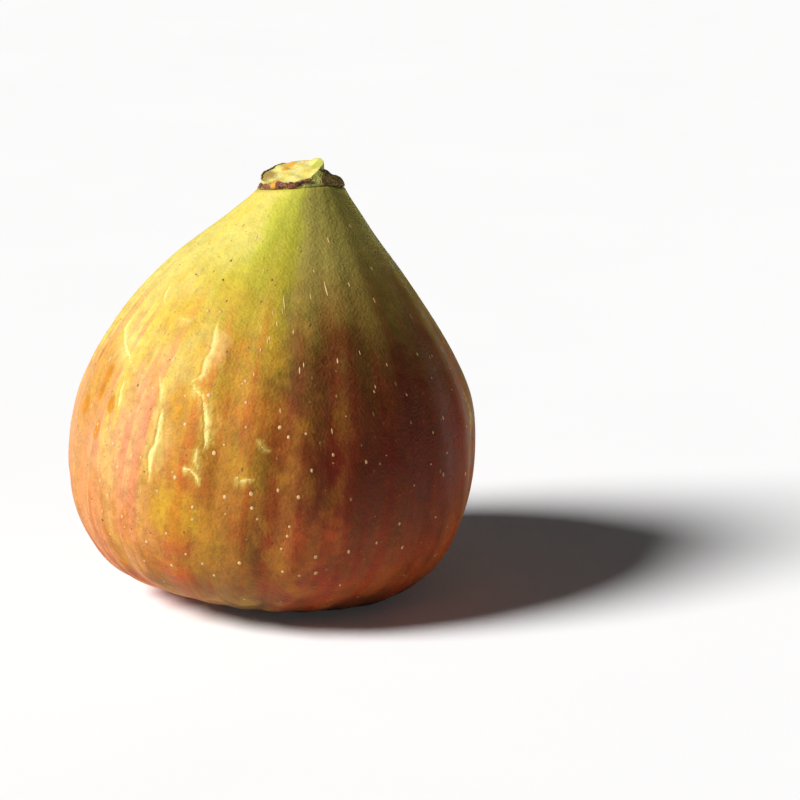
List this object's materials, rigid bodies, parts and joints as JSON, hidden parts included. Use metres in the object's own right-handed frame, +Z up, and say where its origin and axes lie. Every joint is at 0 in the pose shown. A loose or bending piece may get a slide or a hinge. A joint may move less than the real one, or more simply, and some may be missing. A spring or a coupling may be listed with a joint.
{
  "type": "fresh fig",
  "caption": "Whole ripe fig: broad ribbed belly narrowing to a leaning neck with small bracts and a slantwise cut stalk, a scaly eye below, and a flat spot it stands on.",
  "frame": {"origin": "on the flat spot that the fig stands on, where the leaning fruit would first touch the ground", "axes": "+Z up, -Y towards the picture's viewer, +X to the viewer's right, the way the neck leans"},
  "size_m": [0.051, 0.0508, 0.0543],
  "materials": {
    "fig_skin": "soft satin fruit skin, lime at the neck, gold on the shoulder and orange-red on the belly",
    "fig_stalk": "dull greenish stalk and bracts with brown torn edges",
    "fig_cut": "pale moist cut face of the stalk"
  },
  "bodies": {
    "root": {"fig": "fig_skin"}
  },
  "joints": []
}
